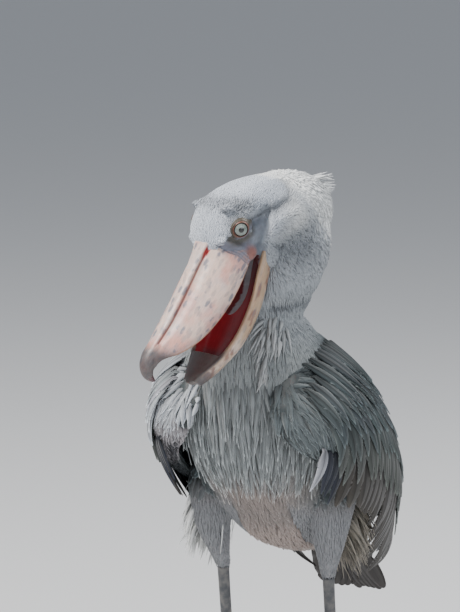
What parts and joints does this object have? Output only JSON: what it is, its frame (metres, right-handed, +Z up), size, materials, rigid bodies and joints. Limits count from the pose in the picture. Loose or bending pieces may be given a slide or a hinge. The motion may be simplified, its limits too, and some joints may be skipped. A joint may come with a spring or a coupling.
{
  "type": "shoebill stork model",
  "caption": "Life-size still model of a standing shoebill with a huge open bill, shaggy grey plumage, folded wings and bare legs",
  "frame": {"origin": "on the floor, at the middle of the bounding box's bottom face", "axes": "+Z up; the bird faces -Y; its left side is +X"},
  "size_m": [0.3722, 0.735, 1.0541],
  "materials": {
    "bill": "satin",
    "claw": "satin",
    "dark_feather": "matte",
    "eye": "gloss",
    "leg_scale": "matte",
    "pale_feather": "matte",
    "slate_feather": "matte"
  },
  "bodies": {
    "root": {"bill_lower": "bill", "bill_upper": "bill", "claw_hind_left": "claw", "claw_hind_right": "claw", "claw_inner_left": "claw", "claw_inner_right": "claw", "claw_middle_left": "claw", "claw_middle_right": "claw", "claw_outer_left": "claw", "claw_outer_right": "claw", "eye_left": "eye", "eye_right": "eye", "foot_left": "leg_scale", "foot_right": "leg_scale", "head": "slate_feather", "leg_left": "leg_scale", "leg_right": "leg_scale", "neck": "slate_feather", "tail": "dark_feather", "thigh_left": "pale_feather", "thigh_right": "pale_feather", "torso": "slate_feather", "wing_left": "slate_feather", "wing_right": "slate_feather"}
  },
  "joints": []
}
